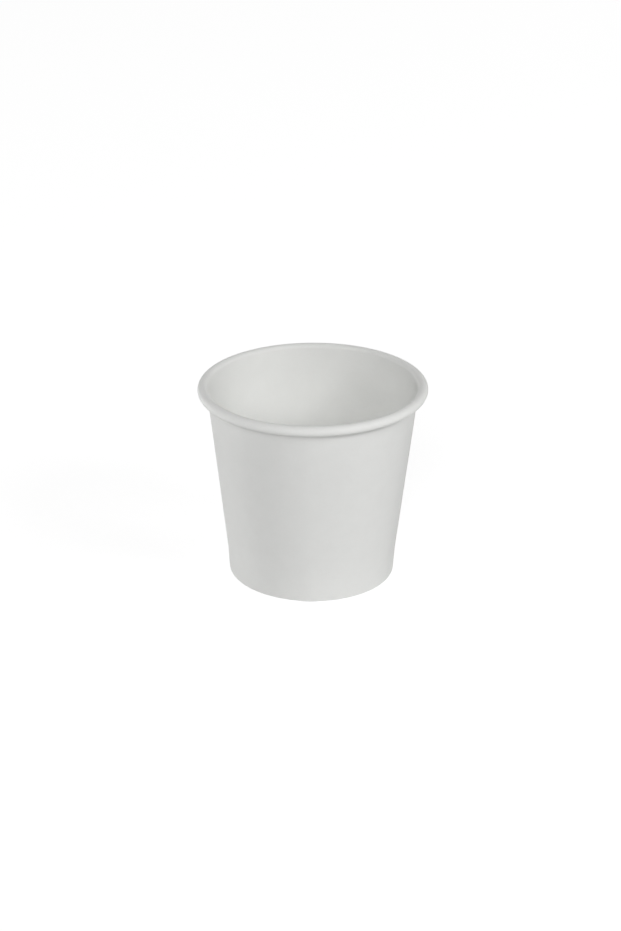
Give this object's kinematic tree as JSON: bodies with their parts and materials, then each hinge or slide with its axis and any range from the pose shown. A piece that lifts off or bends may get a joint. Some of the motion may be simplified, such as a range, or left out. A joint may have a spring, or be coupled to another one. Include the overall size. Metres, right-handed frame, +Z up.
{
  "type": "paper sundae cup",
  "caption": "Small round paper cup: a tapered wrapped sidewall with a rolled rim and glued side seam, and a raised bottom disc held in the folded foot.",
  "frame": {"origin": "centre of the foot circle, on the surface that the cup stands on", "axes": "+Z up along the cup's axis; -Y faces the picture's camera, and the glued side seam runs up the front just right of -Y"},
  "size_m": [0.062, 0.062, 0.0543],
  "materials": {
    "sidewall_board": "matte uncoated outside, satin coated inside and on the rolled rim",
    "bottom_board": "satin coated on top, matte beneath"
  },
  "bodies": {
    "root": {"sidewall": "sidewall_board", "bottom_disc": "bottom_board"}
  },
  "joints": []
}
